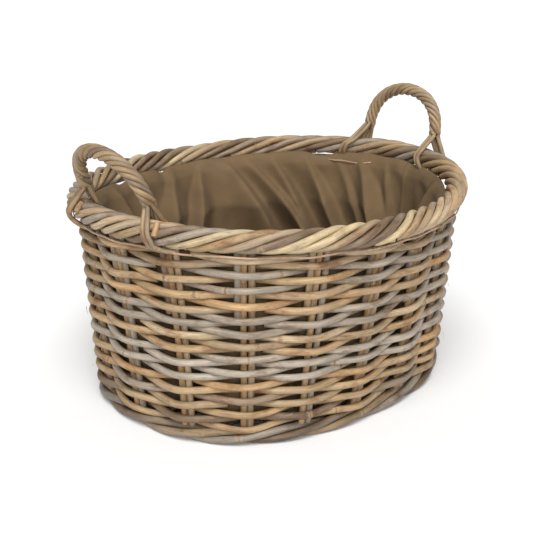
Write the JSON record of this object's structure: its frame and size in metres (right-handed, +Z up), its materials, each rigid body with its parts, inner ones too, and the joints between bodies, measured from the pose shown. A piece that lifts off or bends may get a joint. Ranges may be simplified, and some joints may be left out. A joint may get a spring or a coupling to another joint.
{
  "type": "log basket",
  "caption": "Oval woven rattan log basket with a rope border, a twisted handle at each end and a stitched fabric lining.",
  "frame": {"origin": "centre of the oval foot, on the floor that the basket stands on", "axes": "+X along the long way of the oval, through both handles; +Z up out of the mouth"},
  "size_m": [0.5115, 0.4346, 0.3262],
  "materials": {
    "rattan_weave": "weathered round rattan, antique wash",
    "rattan_stakes": "weathered round rattan, antique wash",
    "rattan_border": "weathered round rattan, satin",
    "rattan_base": "round rattan, dull",
    "split_cane": "split cane, satin",
    "lining_cloth": "plain woven cotton cloth, olive brown"
  },
  "bodies": {
    "root": {"foot_hoop": "rattan_base", "foot_canes": "rattan_weave", "base_sticks": "rattan_base", "base_canes": "rattan_base", "stakes_01": "rattan_stakes", "stakes_02": "rattan_stakes", "stakes_03": "rattan_stakes", "stakes_04": "rattan_stakes", "stakes_05": "rattan_stakes", "stakes_06": "rattan_stakes", "stakes_07": "rattan_stakes", "stakes_08": "rattan_stakes", "stakes_09": "rattan_stakes", "stakes_10": "rattan_stakes", "stakes_11": "rattan_stakes", "stakes_12": "rattan_stakes", "stakes_13": "rattan_stakes", "stakes_14": "rattan_stakes", "stakes_15": "rattan_stakes", "stakes_16": "rattan_stakes", "stakes_17": "rattan_stakes", "stakes_18": "rattan_stakes", "weaver_row_01": "rattan_weave", "weaver_row_02": "rattan_weave", "weaver_row_03": "rattan_weave", "weaver_row_04": "rattan_weave", "weaver_row_05": "rattan_weave", "weaver_row_06": "rattan_weave", "weaver_row_07": "rattan_weave", "weaver_row_08": "rattan_weave", "weaver_row_09": "rattan_weave", "weaver_row_10": "rattan_weave", "weaver_row_11": "rattan_weave", "weaver_row_12": "rattan_weave", "weaver_row_13": "rattan_weave", "weaver_row_14": "rattan_weave", "weaver_row_15": "rattan_weave", "weaver_row_16": "rattan_weave", "weaver_row_17": "rattan_weave", "weaver_row_18": "rattan_weave", "weaver_row_19": "rattan_weave", "weaver_row_20": "rattan_weave", "weaver_row_21": "rattan_weave", "weaver_row_22": "rattan_weave", "weaver_row_23": "rattan_weave", "weaver_row_24": "rattan_weave", "weaver_row_25": "rattan_weave", "border_cane_1": "rattan_border", "border_cane_2": "rattan_border", "border_cane_3": "rattan_border", "border_cane_4": "rattan_border", "border_cane_5": "rattan_border", "border_cane_6": "rattan_border", "border_core": "rattan_stakes", "outer_strip": "split_cane", "lining": "lining_cloth", "inner_strip": "split_cane", "handle_right": "rattan_border", "handle_left": "rattan_border"}
  },
  "joints": []
}
